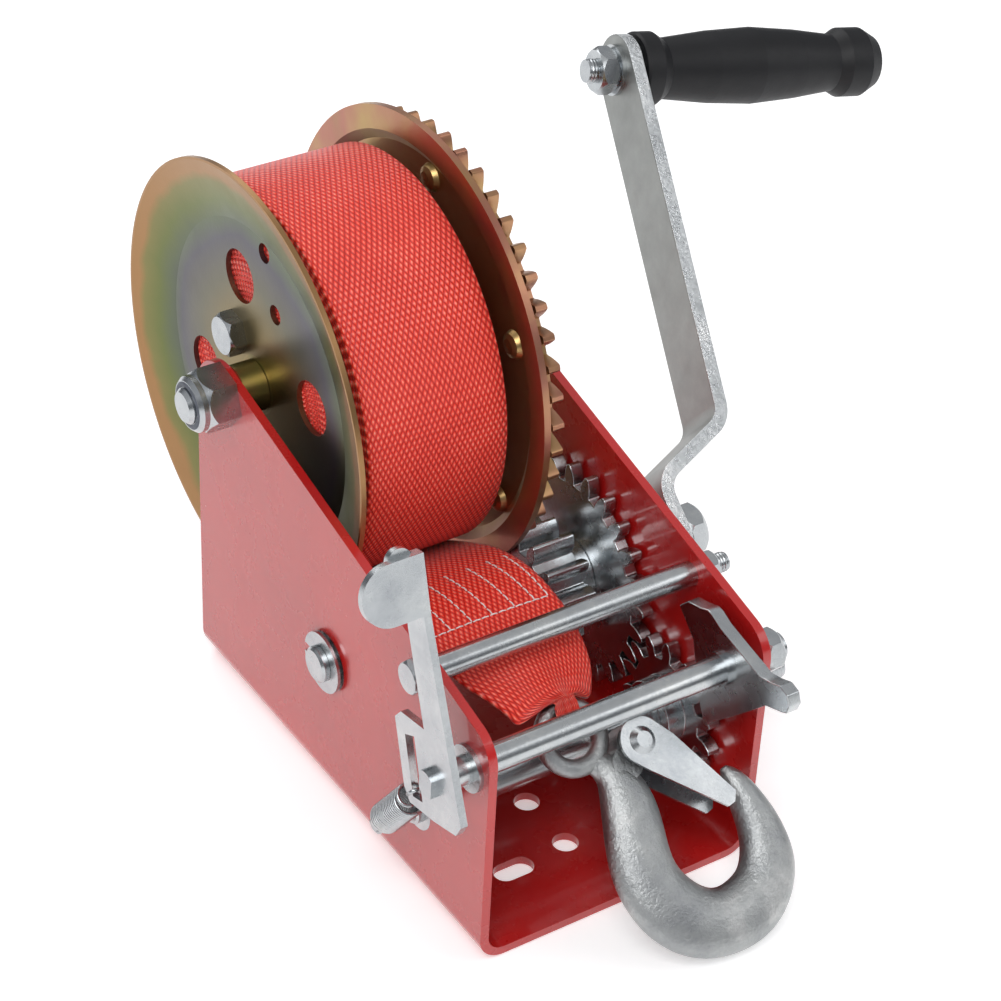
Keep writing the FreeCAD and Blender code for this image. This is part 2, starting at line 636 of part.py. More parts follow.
def latch():
    length = math.hypot(LATCH_TIP[0] - LATCH_PIVOT[0], LATCH_TIP[1] - LATCH_PIVOT[1])
    parts = []
    for h in (-8.0, 6.8):
        outline = [(0, 7.4), (8, 7.2), (length, 2.2), (length + 1.2, -1.0), (length, -3.4), (6, -7.0), (0, -7.4)]
        ear = latch_plate(outline, h, 1.2)
        ear = ear.fuse(Part.makeCylinder(7.4, 1.2, hook_point(*LATCH_PIVOT, h), HOOK_UP))
        ear = ear.cut(Part.makeCylinder(2.5, 1.2, hook_point(*LATCH_PIVOT, h), HOOK_UP))
        parts.append(ear)
    web = latch_plate([(12, 6.35), (length - 1, 2.3), (length - 1, 1.1), (12, 5.1)], -6.8, 13.6)
    return parts[0].fuse(parts[1]).fuse(web)


def latch_plate(outline, h, thick):
    """A plate of the latch; outline points are (along, towards the mouth) from its pivot."""
    angle = math.atan2(LATCH_TIP[1] - LATCH_PIVOT[1], LATCH_TIP[0] - LATCH_PIVOT[0])
    ca, sa = math.cos(angle), math.sin(angle)
    points = []
    for a, b in outline:
        points.append(hook_point(LATCH_PIVOT[0] + a * ca + b * sa, LATCH_PIVOT[1] + a * sa - b * ca, h))
    return Part.Face(Part.makePolygon(points + points[:1])).extrude(HOOK_UP * thick)


def latch_rivet():
    shank = Part.makeCylinder(2.5, 18.0, hook_point(*LATCH_PIVOT, -9.0), HOOK_UP)
    heads = []
    for h, sign in ((8.0, 1), (-8.0, -1)):
        heads.append(Part.makeCone(4.4, 2.6, 1.6, hook_point(*LATCH_PIVOT, h), HOOK_UP * sign))
    return shank.fuse(heads[0]).fuse(heads[1])


def latch_spring():
    coils = [Part.makeTorus(3.7, 0.7, hook_point(*LATCH_PIVOT, h), HOOK_UP) for h in (-5.4, 5.4)]
    return Part.makeCompound(coils)


os.makedirs("parts", exist_ok=True)

spacer_left, spacer_right = axle_spacers()
tie_sleeve, tie_bolt, tie_nut = tie_parts()
anchor_bolt, anchor_nut = strap_anchor()

drive_bushes = Part.makeCompound([flanged_bush(-1, DRIVE, 10.0, 6.06, 12.0, True),
                                  flanged_bush(1, DRIVE, 10.0, 8.06, 12.0, False)])
low_bushes = Part.makeCompound([flanged_bush(-1, LOW, 8.0, 5.26, 9.5, True),
                                flanged_bush(1, LOW, 8.0, 6.06, 9.5, False)])
pawl_bushes = Part.makeCompound([flanged_bush(-1, PAWL, 6.5, 4.56, 7.6, False),
                                 flanged_bush(1, PAWL, 6.5, 4.56, 7.6, False)])

frame_plate().exportStep("parts/frame_plate.step")
drum_axle_bolt().exportStep("parts/drum_axle_bolt.step")
drum_axle_nut().exportStep("parts/drum_axle_nut.step")
spacer_left.exportStep("parts/axle_spacer_left.step")
spacer_right.exportStep("parts/axle_spacer_right.step")
drive_bushes.exportStep("parts/drive_shaft_bushes.step")
low_bushes.exportStep("parts/low_speed_bushes.step")
pawl_bushes.exportStep("parts/pawl_shaft_bushes.step")
tie_sleeve.exportStep("parts/tie_sleeve.step")
tie_bolt.exportStep("parts/tie_bolt.step")
tie_nut.exportStep("parts/tie_nut.step")
spring_anchor_pin().exportStep("parts/spring_anchor_pin.step")
strap_tail().exportStep("parts/strap_tail.step")
pawl_nut().exportStep("parts/pawl_nut.step")
left_flange().exportStep("parts/left_flange.step")
right_flange().exportStep("parts/right_flange.step")
drum_core().exportStep("parts/drum_core.step")
ring_gear().exportStep("parts/ring_gear.step")
ring_gear_rivets().exportStep("parts/ring_gear_rivets.step")
anchor_bolt.exportStep("parts/strap_anchor_bolt.step")
anchor_nut.exportStep("parts/strap_anchor_nut.step")
strap_roll().exportStep("parts/strap_roll.step")
drive_shaft().exportStep("parts/drive_shaft.step")
drive_pinion().exportStep("parts/drive_pinion.step")
large_gear().exportStep("parts/large_gear.step")
snap_ring(DRIVE, 6.0).exportStep("parts/drive_snap_ring.step")
crank_arm().exportStep("parts/crank_arm.step")
crank_nut().exportStep("parts/crank_nut.step")
crank_washer().exportStep("parts/crank_washer.step")
grip_bolt().exportStep("parts/grip_bolt.step")
grip_nut().exportStep("parts/grip_nut.step")
grip_washers().exportStep("parts/grip_washers.step")
grip().exportStep("parts/grip.step")
low_speed_shaft().exportStep("parts/low_speed_shaft.step")
low_speed_pinion().exportStep("parts/low_speed_pinion.step")
pawl_shaft().exportStep("parts/pawl_shaft.step")
pawl().exportStep("parts/pawl.step")
pawl_collar().exportStep("parts/pawl_collar.step")
selector_lever().exportStep("parts/selector_lever.step")
lever_spring().exportStep("parts/lever_spring.step")
hook().exportStep("parts/hook.step")
latch().exportStep("parts/hook_latch.step")
latch_rivet().exportStep("parts/latch_rivet.step")
latch_spring().exportStep("parts/latch_spring.step")
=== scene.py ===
import json
import math
import random

import bmesh
import bpy
from mathutils import Matrix, Vector

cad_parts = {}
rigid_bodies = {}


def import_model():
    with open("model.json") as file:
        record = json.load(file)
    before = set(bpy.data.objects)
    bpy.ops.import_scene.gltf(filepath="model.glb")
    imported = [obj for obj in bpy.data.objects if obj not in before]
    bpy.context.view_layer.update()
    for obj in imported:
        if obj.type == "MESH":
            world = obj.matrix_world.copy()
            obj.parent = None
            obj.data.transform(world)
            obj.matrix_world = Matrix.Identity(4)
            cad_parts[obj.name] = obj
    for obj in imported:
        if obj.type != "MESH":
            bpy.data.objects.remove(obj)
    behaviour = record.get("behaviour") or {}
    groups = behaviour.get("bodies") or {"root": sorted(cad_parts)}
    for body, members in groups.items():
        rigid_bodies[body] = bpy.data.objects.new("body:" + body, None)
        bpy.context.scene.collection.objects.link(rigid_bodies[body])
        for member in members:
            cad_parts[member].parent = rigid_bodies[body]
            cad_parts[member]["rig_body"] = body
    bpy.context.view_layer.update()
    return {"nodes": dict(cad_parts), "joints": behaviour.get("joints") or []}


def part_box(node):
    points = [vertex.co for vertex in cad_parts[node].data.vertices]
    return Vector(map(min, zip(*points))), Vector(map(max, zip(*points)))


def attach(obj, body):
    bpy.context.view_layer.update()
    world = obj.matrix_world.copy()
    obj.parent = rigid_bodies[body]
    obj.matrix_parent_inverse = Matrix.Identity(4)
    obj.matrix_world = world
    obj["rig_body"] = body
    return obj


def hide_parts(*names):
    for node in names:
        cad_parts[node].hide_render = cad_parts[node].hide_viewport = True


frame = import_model()

MM = 0.001
NODES = frame["nodes"]
JOINTS = {j["name"]: j for j in frame["joints"]}
DRUM = Vector(JOINTS["drum_spin"]["pos_m"])
LOOP = Vector(JOINTS["hook_swing"]["pos_m"])
X_AXIS = Vector((1, 0, 0))


# ---------------------------------------------------------------- node helpers

def new_material(name):
    material = bpy.data.materials.new(name)
    material.use_nodes = True
    tree = material.node_tree
    return material, tree, tree.nodes["Principled BSDF"]


def add_node(tree, kind, **inputs):
    node = tree.nodes.new(kind)
    for key, value in inputs.items():
        node.inputs[key.replace("_", " ")].default_value = value
    return node


def noise(tree, vector, scale, detail=4.0, roughness=0.6):
    node = add_node(tree, "ShaderNodeTexNoise", Scale=scale, Detail=detail, Roughness=roughness)
    tree.links.new(vector, node.inputs["Vector"])
    return node.outputs["Fac"]


def ramp(tree, value, stops):
    """A colour ramp from a list of (position, colour)."""
    node = tree.nodes.new("ShaderNodeValToRGB")
    elements = node.color_ramp.elements
    while len(elements) < len(stops):
        elements.new(0.5)
    for element, (position, colour) in zip(elements, stops):
        element.position = position
        element.color = (*colour, 1.0)
    tree.links.new(value, node.inputs["Fac"])
    return node.outputs["Color"]


def between(tree, value, low, high):
    """Maps a value from 0..1 to low..high."""
    node = add_node(tree, "ShaderNodeMapRange", To_Min=low, To_Max=high)
    tree.links.new(value, node.inputs["Value"])
    return node.outputs["Result"]


def math_node(tree, operation, first, second=None):
    node = tree.nodes.new("ShaderNodeMath")
    node.operation = operation
    for socket, value in zip(node.inputs, (first, second)):
        if value is None:
            continue
        if isinstance(value, (int, float)):
            socket.default_value = value
        else:
            tree.links.new(value, socket)
    return node.outputs["Value"]


def bump(tree, shader, height, strength, distance):
    node = add_node(tree, "ShaderNodeBump", Strength=strength, Distance=distance)
    tree.links.new(height, node.inputs["Height"])
    tree.links.new(node.outputs["Normal"], shader.inputs["Normal"])


def object_space(tree):
    return tree.nodes.new("ShaderNodeTexCoord").outputs["Object"]


# ---------------------------------------------------------------- materials

def red_paint():
    material, tree, shader = new_material("gloss_red_paint")
    where = object_space(tree)
    cloud = noise(tree, where, scale=18.0, detail=3.0)
    colour = ramp(tree, cloud, [(0.35, (0.44, 0.009, 0.009)), (0.7, (0.52, 0.014, 0.012))])
    tree.links.new(colour, shader.inputs["Base Color"])
    gloss = between(tree, noise(tree, where, scale=60.0), low=0.2, high=0.34)
    tree.links.new(gloss, shader.inputs["Roughness"])
    shader.inputs["Coat Weight"].default_value = 0.55
    shader.inputs["Coat Roughness"].default_value = 0.06
    bump(tree, shader, noise(tree, where, scale=260.0, detail=2.0), strength=0.05, distance=0.0006)
    return material


def plated_steel(name, tones, rough, bump_scale, bump_strength, grain=0.0004):
    """Bright plated steel: cloudy tint, uneven gloss and a fine grain."""
    material, tree, shader = new_material(name)
    where = object_space(tree)
    cloud = noise(tree, where, scale=45.0, detail=6.0, roughness=0.7)
    colour = ramp(tree, cloud, [(0.3, tones[0]), (0.55, tones[1]), (0.75, tones[2])])
    tree.links.new(colour, shader.inputs["Base Color"])
    shader.inputs["Metallic"].default_value = 1.0
    tree.links.new(between(tree, noise(tree, where, scale=130.0), *rough), shader.inputs["Roughness"])
    bump(tree, shader, noise(tree, where, bump_scale, detail=4.0, roughness=0.7), bump_strength, grain)
    return material


# Colours of the chromate film: olive bands by distance from the axle, whose darkest band about 45 to 64
# mm out is painted shade inside the flange's crease; gold ones by a repeating band
OLIVE_FILM_AND_SHADE_STOPS = [(0.12, (0.26, 0.18, 0.05)), (0.40, (0.24, 0.18, 0.08)), (0.56, (0.15, 0.14, 0.10)),
               (0.72, (0.11, 0.105, 0.12)), (0.80, (0.13, 0.15, 0.10)), (0.88, (0.16, 0.18, 0.07)),
               (0.96, (0.22, 0.20, 0.08)), (1.0, (0.36, 0.20, 0.09))]
GOLD_STOPS = [(0.0, (0.36, 0.22, 0.08)), (0.3, (0.46, 0.31, 0.13)), (0.55, (0.42, 0.18, 0.13)),
              (0.8, (0.28, 0.25, 0.09)), (1.0, (0.36, 0.22, 0.08))]


def yellow_zinc(name, olive_with_shade):
    """Chromate-plated sheet: gold with olive and pink bands that run round the drum's axis; on the olive
    sheet the dark band near the crease is painted shade.
    """
    material, tree, shader = new_material(name)
    where = object_space(tree)
    offset = add_node(tree, "ShaderNodeVectorMath")
    offset.operation = "SUBTRACT"
    offset.inputs[1].default_value = DRUM
    tree.links.new(where, offset.inputs[0])
    split = tree.nodes.new("ShaderNodeSeparateXYZ")
    tree.links.new(offset.outputs["Vector"], split.inputs["Vector"])
    squares = [math_node(tree, "MULTIPLY", split.outputs[k], split.outputs[k]) for k in "YZ"]
    radius = math_node(tree, "SQRT", math_node(tree, "ADD", *squares))
    cloud = noise(tree, where, scale=16.0, detail=4.0)
    if olive_with_shade:
        # olive colour by radius, with painted shade darkening the band near the flange's crease
        band = math_node(tree, "ADD", math_node(tree, "MULTIPLY", radius, 12.5),
                         math_node(tree, "MULTIPLY", cloud, 0.22))
        stops = OLIVE_FILM_AND_SHADE_STOPS
    else:
        band = math_node(tree, "ADD", math_node(tree, "MULTIPLY", radius, 11.0),
                         math_node(tree, "MULTIPLY", cloud, 1.3))
        band = math_node(tree, "FRACT", band)
        stops = GOLD_STOPS
    tree.links.new(ramp(tree, band, stops), shader.inputs["Base Color"])
    shader.inputs["Metallic"].default_value = 0.95
    gloss = between(tree, noise(tree, where, scale=90.0), low=0.24, high=0.42)
    tree.links.new(gloss, shader.inputs["Roughness"])
    bump(tree, shader, noise(tree, where, scale=700.0, detail=3.0), strength=0.12, distance=0.0002)
    return material


def black_grip():
    material, tree, shader = new_material("black_grip_plastic")
    where = object_space(tree)
    colour = ramp(tree, noise(tree, where, scale=30.0),
                  [(0.3, (0.003, 0.003, 0.004)), (0.75, (0.008, 0.008, 0.010))])
    tree.links.new(colour, shader.inputs["Base Color"])
    gloss = between(tree, noise(tree, where, scale=220.0), low=0.42, high=0.6)
    tree.links.new(gloss, shader.inputs["Roughness"])
    shader.inputs["Specular IOR Level"].default_value = 0.38
    bump(tree, shader, noise(tree, where, scale=900.0, detail=3.0), strength=0.18, distance=0.0002)
    return material


def nylon():
    material, tree, shader = new_material("nylon_insert")
    colour = ramp(tree, noise(tree, object_space(tree), scale=400.0),
                  [(0.3, (0.05, 0.06, 0.08)), (0.7, (0.10, 0.11, 0.14))])
    tree.links.new(colour, shader.inputs["Base Color"])
    shader.inputs["Roughness"].default_value = 0.5
    return material


# Pitch of the weave in millimetres
WEAVE_ACROSS = 1.9
WEAVE_ALONG = 3.6


def webbing():
    """Plain-woven polyester: staggered floats, in millimetres on the piece's own map, with painted
    highlights on the floats and painted shade between them.
    """
    material, tree, shader = new_material("red_webbing")
    place = tree.nodes.new("ShaderNodeUVMap")
    split = tree.nodes.new("ShaderNodeSeparateXYZ")
    tree.links.new(place.outputs["UV"], split.inputs["Vector"])
    across = math_node(tree, "MULTIPLY", split.outputs["X"], math.pi / WEAVE_ACROSS)
    along = math_node(tree, "MULTIPLY", split.outputs["Y"], math.pi / WEAVE_ALONG)
    first = math_node(tree, "SINE", math_node(tree, "ADD", across, along))
    second = math_node(tree, "SINE", math_node(tree, "SUBTRACT", across, along))
    floats = math_node(tree, "ABSOLUTE", math_node(tree, "MULTIPLY", first, second))
    rib = math_node(tree, "ABSOLUTE", math_node(tree, "SINE", along))
    height = math_node(tree, "ADD", floats, math_node(tree, "MULTIPLY", rib, 0.35))
    where = object_space(tree)
    wear = noise(tree, where, scale=70.0, detail=5.0)
    # Colour follows the floats: their tops are painted highlight up to pinkish white, and the gaps
    # between them are painted shade in dark red; the wear noise varies this at random.
    lift = math_node(tree, "ADD", math_node(tree, "MULTIPLY", floats, 0.75),
                     math_node(tree, "MULTIPLY", wear, 0.25))
    colour = ramp(tree, lift, [(0.1, (0.44, 0.008, 0.006)), (0.45, (0.86, 0.034, 0.018)),
                               (0.75, (0.96, 0.11, 0.065)), (0.95, (1.0, 0.40, 0.30))])
    tree.links.new(colour, shader.inputs["Base Color"])
    shader.inputs["Roughness"].default_value = 0.36
    shader.inputs["Sheen Weight"].default_value = 0.1
    shader.inputs["Sheen Roughness"].default_value = 0.4
    bump(tree, shader, height, strength=0.7, distance=0.0005)
    return material


def thread_white():
    material, tree, shader = new_material("white_thread")
    where = object_space(tree)
    colour = ramp(tree, noise(tree, where, scale=900.0),
                  [(0.3, (0.70, 0.62, 0.60)), (0.7, (0.92, 0.88, 0.86))])
    tree.links.new(colour, shader.inputs["Base Color"])
    shader.inputs["Roughness"].default_value = 0.6
    bump(tree, shader, noise(tree, where, scale=2500.0), strength=0.4, distance=0.0002)
    return material


def pale_floor():
    material, tree, shader = new_material("pale_floor")
    colour = ramp(tree, noise(tree, object_space(tree), scale=3.0),
                  [(0.3, (0.86, 0.86, 0.86)), (0.7, (0.88, 0.88, 0.88))])
    tree.links.new(colour, shader.inputs["Base Color"])
    shader.inputs["Roughness"].default_value = 0.7
    tree.links.new(colour, shader.inputs["Emission Color"])
    shader.inputs["Emission Strength"].default_value = 0.45
    return material


RED = red_paint()
ZINC = plated_steel("bright_zinc", ((0.38, 0.40, 0.42), (0.50, 0.52, 0.53), (0.63, 0.64, 0.63)),
                    rough=(0.18, 0.34), bump_scale=520.0, bump_strength=0.10)
CAST_ZINC = plated_steel("forged_zinc", ((0.27, 0.28, 0.29), (0.40, 0.41, 0.41), (0.62, 0.62, 0.61)),
                         rough=(0.3, 0.46), bump_scale=620.0, bump_strength=0.6, grain=0.0007)
BAR_FACE = plated_steel("zinc_bar_face", ((0.30, 0.31, 0.30), (0.35, 0.36, 0.35), (0.40, 0.41, 0.40)),
                        rough=(0.42, 0.56), bump_scale=260.0, bump_strength=0.08)
BAR_EDGE = plated_steel("zinc_bar_edge", ((0.45, 0.47, 0.48), (0.66, 0.68, 0.69), (0.93, 0.93, 0.92)),
                        rough=(0.16, 0.4), bump_scale=620.0, bump_strength=0.9, grain=0.0009)
GOLD = yellow_zinc("yellow_zinc", olive_with_shade=False)
OLIVE = yellow_zinc("yellow_zinc_sheet", olive_with_shade=True)
GRIP = black_grip()
NYLON = nylon()
WEBBING = webbing()
THREAD = thread_white()


# ---------------------------------------------------------------- mesh helpers

def build(name, points, faces, material, body, uvs=None):
    """A smooth mesh that rides on a body."""
    mesh = bpy.data.meshes.new(name)
    mesh.from_pydata(points, [], faces)
    mesh.polygons.foreach_set("use_smooth", [True] * len(mesh.polygons))
    if uvs:
        layer = mesh.uv_layers.new(name="weave")
        for loop in mesh.loops:
            layer.data[loop.index].uv = uvs[loop.vertex_index]
    mesh.materials.append(material)
    piece = bpy.data.objects.new(name, mesh)
    bpy.context.scene.collection.objects.link(piece)
    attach(piece, body)
    return piece


def grid_faces(rows, columns, wrap_rows, wrap_columns):
    faces = []
    for i in range(rows if wrap_rows else rows - 1):
        for j in range(columns if wrap_columns else columns - 1):
            a = i * columns + j
            b = i * columns + (j + 1) % columns
            c = ((i + 1) % rows) * columns + (j + 1) % columns
            d = ((i + 1) % rows) * columns + j
            faces.append((a, b, c, d))
    return faces


def frame_of(axis):
    """Two unit vectors square to an axis."""
    axis = Vector(axis).normalized()
    side = axis.orthogonal().normalized()
    return side, axis.cross(side)


def around(side, other, angle):
    """The unit vector at an angle from side towards other."""
    return side * math.cos(angle) + other * math.sin(angle)


def round_drum(x, radius, angle):
    """A point at a radius and angle from the drum's axis."""
    return Vector((x, DRUM.y + radius * math.cos(angle), DRUM.z + radius * math.sin(angle)))


def swept_tube(name, path, radius, material, body, sides=10):
    """A round wire along a path of points."""
    points = []
    side = frame_of(path[1] - path[0])[0]
    for i, here in enumerate(path):
        ahead = path[min(i + 1, len(path) - 1)]
        behind = path[max(i - 1, 0)]
        way = (ahead - behind).normalized()
        side = (side - way * side.dot(way)).normalized()
        other = way.cross(side)
        for k in range(sides):
            points.append(here + around(side, other, 2 * math.pi * k / sides) * radius)
    faces = grid_faces(len(path), sides, False, True)
    faces.append(tuple(reversed(range(sides))))
    faces.append(tuple(range(len(points) - sides, len(points))))
    return build(name, points, faces, material, body)


THREAD_COLUMNS = 36
THREAD_STEPS = 6  # along one pitch
THREAD_GAP = 0.03 * MM  # keeps the sleeve clear of the shank
THREAD_DEPTH = 0.3  # of the pitch


def screw_thread(name, start, axis, length, radius, pitch, body):
    """A helical ridge sleeve that stands on a plain shank."""
    side, other = frame_of(axis)
    axis = Vector(axis).normalized()
    columns = THREAD_COLUMNS
    steps = int(length / pitch * THREAD_STEPS)
    points = []
    for i in range(steps + 1):
        x = length * i / steps
        fade = min(1.0, x / pitch, (length - x) / pitch)
        for k in range(columns):
            turn = k / columns
            phase = (x / pitch + turn) % 1.0
            height = 1 - abs(2 * phase - 1)
            r = radius + THREAD_GAP + height * fade * pitch * THREAD_DEPTH
            points.append(Vector(start) + axis * x + around(side, other, 2 * math.pi * turn) * r)
    faces = grid_faces(steps + 1, columns, False, True)
    return build(name, points, faces, ZINC, body)


WELD_DISTANCE = 1e-6
FLAT_ANGLE = math.radians(0.5)  # faces closer than this are merged into one
EDGE_ANGLE = math.radians(32)  # edges sharper than this are rounded


def softened(node_name, width, material):
    """Stands a copy with rounded edges in for a CAD node."""
    source = NODES[node_name]
    mesh = source.data.copy()
    shape = bmesh.new()
    shape.from_mesh(mesh)
    bmesh.ops.remove_doubles(shape, verts=shape.verts, dist=WELD_DISTANCE)
    bmesh.ops.dissolve_limit(shape, angle_limit=FLAT_ANGLE, verts=shape.verts, edges=shape.edges)
    shape.to_mesh(mesh)
    shape.free()
    mesh.polygons.foreach_set("use_smooth", [True] * len(mesh.polygons))
    mesh.materials.clear()
    mesh.materials.append(material)
    piece = bpy.data.objects.new(node_name + "_visual", mesh)
    bpy.context.scene.collection.objects.link(piece)
    bevel = piece.modifiers.new("round_edges", "BEVEL")
    bevel.width = width
    bevel.segments = 2
    bevel.limit_method = "ANGLE"
    bevel.angle_limit = EDGE_ANGLE
    bevel.harden_normals = True
    bevel.use_clamp_overlap = True
    level = piece.modifiers.new("even_faces", "WEIGHTED_NORMAL")
    level.weight = 100
    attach(piece, source["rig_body"])
    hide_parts(node_name)
    return piece


# ---------------------------------------------------------------- CAD nodes

def dress(names, material):
    for name in names:
        node = NODES[name]
        node.data.materials.clear()
        node.data.materials.append(material)


def dress_frame():
    dress(["axle_spacer_left", "axle_spacer_right", "drum_core", "ring_gear_rivets"], GOLD)
    dress(["drive_shaft", "drive_shaft_bushes", "low_speed_bushes", "pawl_shaft_bushes",
           "tie_sleeve", "tie_bolt", "tie_nut", "spring_anchor_pin", "drum_axle_bolt",
           "strap_anchor_bolt", "strap_anchor_nut", "drive_snap_ring", "crank_nut", "crank_washer",
           "grip_bolt", "grip_nut", "grip_washers", "low_speed_shaft", "pawl_shaft", "pawl_collar",
           "pawl_nut", "drum_axle_nut", "latch_spring", "latch_rivet"], ZINC)
    dress(["hook"], CAST_ZINC)
    dress(["grip"], GRIP)
    dress(["left_flange"], OLIVE)
    dress(["right_flange"], GOLD)


def soften_edges():
    softened("frame_plate", 0.8 * MM, RED)
    softened("ring_gear", 0.35 * MM, GOLD)
    for name in ("large_gear", "drive_pinion", "low_speed_pinion"):
        softened(name, 0.55 * MM, ZINC)
    for name in ("pawl", "selector_lever", "hook_latch"):
        softened(name, 0.4 * MM, ZINC)
    arm = softened("crank_arm", 0.4 * MM, BAR_FACE)
    rough_sides(arm)


def rough_sides(arm):
    """The sheared sides of the bar are granular; its rolled faces are smooth."""
    arm.data.materials.append(BAR_EDGE)
    drive = Vector(JOINTS["drive_spin"]["pos_m"])
    grip = Vector(JOINTS["grip_spin"]["pos_m"])
    reach = grip - drive
    across = Vector((0, -reach.z, reach.y)).normalized()
    rolled = Vector(JOINTS["grip_spin"]["axis"])
    for face in arm.data.polygons:
        sheared = abs(face.normal.dot(across)) > 0.5
        tip = abs(face.normal.dot(reach.normalized())) > 0.8 and abs(face.normal.dot(rolled)) < 0.2
        if sheared or tip:
            face.material_index = 1


# ---------------------------------------------------------------- strap

LAYER = 1.75 * MM
CORE_RADIUS = 25.0 * MM
MOST_PULL = 0.45  # how far a turn's edge may stand back, in millimetres
ROLL_SEGMENTS = 180
ROLL_COLUMNS = 12
# One turn's rounded edge: share of its thickness, and how far in it lies in millimetres
TURN_EDGE = ((0.0, 0.55), (0.22, 0.1), (0.5, 0.0), (0.78, 0.1), (0.97, 0.55))


def strap_roll():
    """Wound webbing: each turn shows as a rounded edge on both sides of the roll."""
    low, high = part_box("strap_roll")
    outer = (high.z - low.z) / 2
    chance = random.Random(7)
    turns = int((outer - CORE_RADIUS) / LAYER)
    left, right = [], []
    for i in range(turns):
        top = outer - i * LAYER
        pull = chance.uniform(0.0, MOST_PULL) * MM if i else 0.0
        for share, inset in TURN_EDGE:
            r = top - share * LAYER
            left.append((low.x + pull + inset * MM, r))
            right.append((high.x - pull - inset * MM, r))
    middle = [(low.x + (high.x - low.x) * k / ROLL_COLUMNS, outer) for k in range(1, ROLL_COLUMNS)]
    outline = list(reversed(left)) + middle + right
    whole_floats = round(outer / MM * 2 * math.pi / WEAVE_ALONG)
    points, uvs = [], []
    for x, r in outline:
        for k in range(ROLL_SEGMENTS):
            a = 2 * math.pi * k / ROLL_SEGMENTS
            points.append(round_drum(x, r, a))
            uvs.append(((x - low.x) / MM, a * whole_floats * WEAVE_ALONG / (2 * math.pi)))
    faces = grid_faces(len(outline), ROLL_SEGMENTS, False, True)
    roll = build("strap_roll_webbing", points, faces, WEBBING, "drum", uvs)
    fix_seam(roll, ROLL_SEGMENTS)
    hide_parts("strap_roll")


def fix_seam(roll, segments):
    """Runs the weave's map on past the last column instead of back to the start."""
    layer = roll.data.uv_layers[0].data
    whole = max(entry.uv[1] for entry in layer) * segments / (segments - 1)
    for face in roll.data.polygons:
        corners = list(face.loop_indices)
        if max(layer[i].uv[1] for i in corners) > whole * 0.7:
            for i in corners:
                if layer[i].uv[1] < whole * 0.3:
                    layer[i].uv[1] += whole


# The webbing's route in millimetres: y, z, middle x, half width, sag of its edges.
# UPPER runs from the roll to the loop at the hook, LOWER from the loop back under itself.
UPPER = [(59.4, 48.9, -12.9, 25.0, 0.0), (47.8, 51.4, -12.9, 25.0, 0.0),
         (37.8, 55.5, -12.9, 25.0, 0.0), (21.0, 65.0, -12.9, 25.0, 0.0),
         (4.0, 73.5, -12.9, 25.0, 0.0), (-15.0, 78.0, -12.9, 25.0, 0.3),
         (-33.0, 76.2, -12.2, 24.5, 1.0), (-45.0, 73.9, -11.2, 22.0, 2.0),
         (-53.0, 72.2, -9.8, 18.5, 3.5), (-58.0, 71.2, -9.4, 15.5, 5.5),
         (-61.0, 70.3, -9.2, 12.5, 7.5)]
LOWER = [(-51.5, 62.4, -8.2, 8.5, -1.0), (-43.0, 68.4, -10.8, 17.0, 1.0), (-32.5, 72.9, -12.4, 22.8, 0.8),
         (-15.0, 75.6, -12.9, 24.6, 0.3), (0.0, 72.6, -12.9, 24.6, 0.0)]
LOOP_RADIUS = 5.7
LOOP_HALF = 3.9
LOOP_START = 112  # degrees
LOOP_STEPS = 8
WEB_THICK = 1.9
WEB_HALF = 25.0
ROUTE_STEPS = 7  # between two stations
TAIL_COLUMNS = 33
THIN_EDGE = (0.97, 0.55)  # past this share of the width, the webbing has this share of its thickness


def loop_stations():
    stations = []
    for i in range(LOOP_STEPS + 1):
        a = math.radians(LOOP_START + 180 * i / LOOP_STEPS)
        stations.append((LOOP.y / MM + LOOP_RADIUS * math.cos(a),
                         LOOP.z / MM + LOOP_RADIUS * math.sin(a), LOOP.x / MM, LOOP_HALF, 0.0))
    return stations


def catmull_rom(a, b, c, d, t):
    """The curve's value between b and c."""
    return 0.5 * (2 * b + (c - a) * t + (2 * a - 5 * b + 4 * c - d) * t * t
                  + (3 * b - a - 3 * c + d) * t ** 3)


def smooth_route(stations, steps):
    """Catmull-Rom stations between the given ones."""
    route = []
    last = len(stations) - 1
    for i in range(last):
        near = [stations[min(max(i + k, 0), last)] for k in (-1, 0, 1, 2)]
        for s in range(steps):
            route.append(tuple(catmull_rom(*four, s / steps) for four in zip(*near)))
    route.append(stations[-1])
    return route


def band_point(route, i, share, lift):
    """A point on the webbing: share runs -1..1 across it, lift is outwards in millimetres."""
    y, z, x, half, sag = route[i]
    y0, z0 = route[max(i - 1, 0)][:2]
    y1, z1 = route[min(i + 1, len(route) - 1)][:2]
    way = Vector((0, y1 - y0, z1 - z0)).normalized()
    normal = Vector((0, way.z, -way.y))
    gather = max(0.0, 1 - half / 24.0)
    fold = gather * 1.1 * math.cos(share * math.pi * 3)
    edge = lift * (1.0 if abs(share) < THIN_EDGE[0] else THIN_EDGE[1])
    drop = Vector((0, 0, -sag * share * share))
    return (Vector((x + share * half, y, z)) + normal * (edge + fold) + drop) * MM


def strap_tail():
    route = smooth_route(UPPER + loop_stations() + LOWER, ROUTE_STEPS)
    shares = [-1 + 2 * k / (TAIL_COLUMNS - 1) for k in range(TAIL_COLUMNS)]
    ring = [(s, -WEB_THICK / 2) for s in shares] + [(s, WEB_THICK / 2) for s in reversed(shares)]
    points, uvs = [], []
    travelled = 0.0
    for i, station in enumerate(route):
        if i:
            travelled += math.hypot(station[0] - route[i - 1][0], station[1] - route[i - 1][1])
        for share, lift in ring:
            points.append(band_point(route, i, share, lift))
            uvs.append((WEB_HALF * (share + 1), travelled))
    count = len(ring)
    faces = grid_faces(len(route), count, False, True)
    faces.append(tuple(reversed(range(count))))
    faces.append(tuple(range(len(points) - count, len(points))))
    tail = build("strap_tail_webbing", points, faces, WEBBING, "frame", uvs)
    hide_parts("strap_tail")
    sew(stitching(route))


